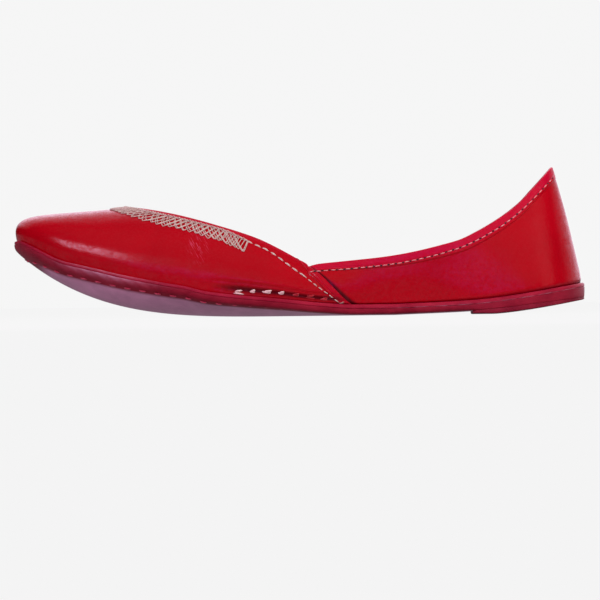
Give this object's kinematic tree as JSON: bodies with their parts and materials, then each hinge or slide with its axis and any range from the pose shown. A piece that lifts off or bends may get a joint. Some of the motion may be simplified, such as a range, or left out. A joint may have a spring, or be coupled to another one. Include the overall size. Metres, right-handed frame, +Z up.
{
  "type": "jutti slip-on shoe",
  "caption": "Flat slip-on leather shoe with a sprung boat-like sole, a low heel lift, winged vamp, wide arched throat and peaked heel counter.",
  "frame": {"origin": "on the floor, under the middle of the shoe's length and width", "axes": "+X runs from the toe to the heel, +Z is up, and the shoe is the same on both sides of the XZ plane"},
  "size_m": [0.255, 0.0818, 0.0653],
  "materials": {
    "maroon_edge": "waxed sole leather",
    "maroon_rim": "burnished edge",
    "dark_lift": "worn matt sole leather",
    "tan_lining": "plain matt lining",
    "red_leather": "glossy"
  },
  "bodies": {
    "root": {"outsole": "maroon_edge", "midsole": "maroon_rim", "heel_lift": "dark_lift", "insole": "tan_lining", "upper": "red_leather"}
  },
  "joints": []
}
